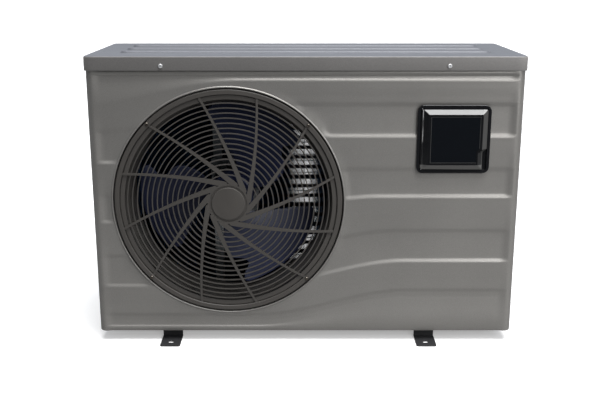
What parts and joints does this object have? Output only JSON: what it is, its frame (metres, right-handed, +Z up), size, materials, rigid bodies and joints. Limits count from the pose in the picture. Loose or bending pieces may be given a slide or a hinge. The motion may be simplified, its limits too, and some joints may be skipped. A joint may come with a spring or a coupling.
{
  "type": "pool heat pump unit",
  "caption": "Outdoor pool heat pump cabinet with a round fan grille, hinged controller cover, finned coil, compressor side and water unions.",
  "frame": {"origin": "on the floor, at the centre of the four foot slots", "axes": "+X to the right seen from the front (along the cabinet's width), -Y to the front, +Z up"},
  "size_m": [1.0149, 0.407, 0.6612],
  "materials": {
    "cabinet_paint": "satin metallic grey powder coat",
    "lid_paint": "fine textured grey powder coat",
    "foot_paint": "satin dark grey",
    "galvanised_steel": "galvanised sheet",
    "zinc_screws": "bright zinc",
    "dark_screws": "dull zinc",
    "grille_plastic": "matt dark warm grey",
    "black_plastic": "matt black moulding",
    "fan_plastic": "satin navy grey",
    "gloss_black": "polished black",
    "tinted_glass": "smoked window",
    "display_glass": "dark display",
    "button_rubber": "grey keypad rubber",
    "fin_aluminium": "blue coated fins",
    "copper_tube": "drawn copper",
    "bearing_steel": "ground steel",
    "motor_paint": "black enamel",
    "grommet_rubber": "moulded rubber",
    "titanium": "drawn titanium",
    "union_plastic": "grey pipe plastic",
    "board_green": "circuit board",
    "gauge_steel": "polished steel",
    "needle_paint": "red enamel",
    "gauge_glass": "clear lens"
  },
  "bodies": {
    "cabinet": {"accumulator": "motor_paint", "base_pan": "galvanised_steel", "cable_glands": "black_plastic", "carry_handle_left": "black_plastic", "carry_handle_right": "black_plastic", "circuit_board": "board_green", "compressor_feet": "grommet_rubber", "compressor_shell": "motor_paint", "controller_bezel": "black_plastic", "controller_housing": "black_plastic", "display_panel": "display_glass", "electrical_box": "galvanised_steel", "evaporator_fins": "fin_aluminium", "evaporator_tubes": "copper_tube", "exchanger_coil": "titanium", "exchanger_shell": "black_plastic", "expansion_valve": "copper_tube", "fan_grille": "grille_plastic", "fan_shroud": "black_plastic", "foot_bolts": "zinc_screws", "foot_rail_left": "foot_paint", "foot_rail_right": "foot_paint", "four_way_valve": "copper_tube", "front_panel": "cabinet_paint", "gauge_body": "gauge_steel", "gauge_lens": "gauge_glass", "grille_hub_cap": "grille_plastic", "grille_screws": "dark_screws", "left_coil_guard": "black_plastic", "left_side_panel": "cabinet_paint", "lid": "lid_paint", "lid_screws": "zinc_screws", "motor_bearings": "bearing_steel", "motor_bracket": "galvanised_steel", "motor_housing": "motor_paint", "panel_screws": "zinc_screws", "partition_plate": "galvanised_steel", "rear_coil_guard": "black_plastic", "rear_panel": "cabinet_paint", "refrigerant_pipes": "copper_tube", "right_side_panel": "cabinet_paint", "service_cover": "cabinet_paint", "tube_sheets": "galvanised_steel", "water_inlet_tail": "union_plastic", "water_outlet_tail": "union_plastic"},
    "fan": {"fan_blades": "fan_plastic", "fan_nut": "bearing_steel", "rotor_shaft": "bearing_steel"},
    "cover": {"controller_cover": "gloss_black", "cover_window": "tinted_glass", "cover_pins": "bearing_steel"},
    "power_button": {"button_power": "button_rubber"},
    "mode_button": {"button_mode": "button_rubber"},
    "timer_button": {"button_timer": "button_rubber"},
    "down_button": {"button_down": "button_rubber"},
    "up_button": {"button_up": "button_rubber"},
    "pointer": {"gauge_needle": "needle_paint"},
    "inlet_nut": {"union_nut_inlet": "union_plastic"},
    "outlet_nut": {"union_nut_outlet": "union_plastic"},
    "compressor_crank": {"compressor_rotor": "bearing_steel"}
  },
  "joints": [
    {"name": "fan_spin", "type": "hinge", "parent": "cabinet", "child": "fan", "pos_m": [-0.156, 0, 0.332], "axis": [0, 1, 0], "continuous": true},
    {"name": "cover_hinge", "type": "hinge", "parent": "cabinet", "child": "cover", "pos_m": [0.2708, -0.1723, 0.477], "axis": [0, 0, -1], "range_deg": [0, 95]},
    {"name": "power_press", "type": "slide", "parent": "cabinet", "child": "power_button", "axis": [0, 1, 0], "range_m": [0, 0.0015], "stiffness_N_per_m": 400},
    {"name": "mode_press", "type": "slide", "parent": "cabinet", "child": "mode_button", "axis": [0, 1, 0], "range_m": [0, 0.0015], "stiffness_N_per_m": 400},
    {"name": "timer_press", "type": "slide", "parent": "cabinet", "child": "timer_button", "axis": [0, 1, 0], "range_m": [0, 0.0015], "stiffness_N_per_m": 400},
    {"name": "down_press", "type": "slide", "parent": "cabinet", "child": "down_button", "axis": [0, 1, 0], "range_m": [0, 0.0015], "stiffness_N_per_m": 400},
    {"name": "up_press", "type": "slide", "parent": "cabinet", "child": "up_button", "axis": [0, 1, 0], "range_m": [0, 0.0015], "stiffness_N_per_m": 400},
    {"name": "needle_turn", "type": "hinge", "parent": "cabinet", "child": "pointer", "pos_m": [0.4955, -0.06, 0.37], "axis": [-1, 0, 0], "range_deg": [0, 270], "stiffness_Nm_per_rad": 0.0002},
    {"name": "inlet_nut_spin", "type": "hinge", "parent": "cabinet", "child": "inlet_nut", "pos_m": [0.5245, 0.092, 0.12], "axis": [1, 0, 0], "continuous": true},
    {"name": "outlet_nut_spin", "type": "hinge", "parent": "cabinet", "child": "outlet_nut", "pos_m": [0.5245, 0.092, 0.3], "axis": [1, 0, 0], "continuous": true},
    {"name": "compressor_spin", "type": "hinge", "parent": "cabinet", "child": "compressor_crank", "pos_m": [0.25, -0.005, 0.15], "axis": [0, 0, 1], "continuous": true}
  ]
}
